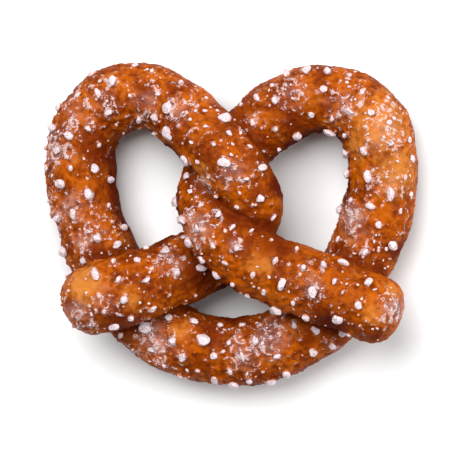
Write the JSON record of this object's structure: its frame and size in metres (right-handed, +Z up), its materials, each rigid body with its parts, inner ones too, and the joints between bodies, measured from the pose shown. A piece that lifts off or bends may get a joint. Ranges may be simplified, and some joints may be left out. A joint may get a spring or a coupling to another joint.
{
  "type": "model soft pretzel",
  "caption": "Miniature soft pretzel cast in painted resin: a rope looped and twisted round open holes, salt grains fused on its upper side, and a narrow flat it lies on.",
  "frame": {"origin": "middle of the outline, on the surface that the pretzel lies on", "axes": "+Z up out of the shown side, +Y towards the two lobes, +X to the right as the pretzel is seen from above"},
  "size_m": [0.029, 0.0246, 0.0089],
  "materials": {
    "painted_resin": "cast resin, painted orange-brown with dark red-brown creases, a pale dry-brushed haze and white salt, satin"
  },
  "bodies": {
    "root": {"pretzel": "painted_resin"}
  },
  "joints": []
}
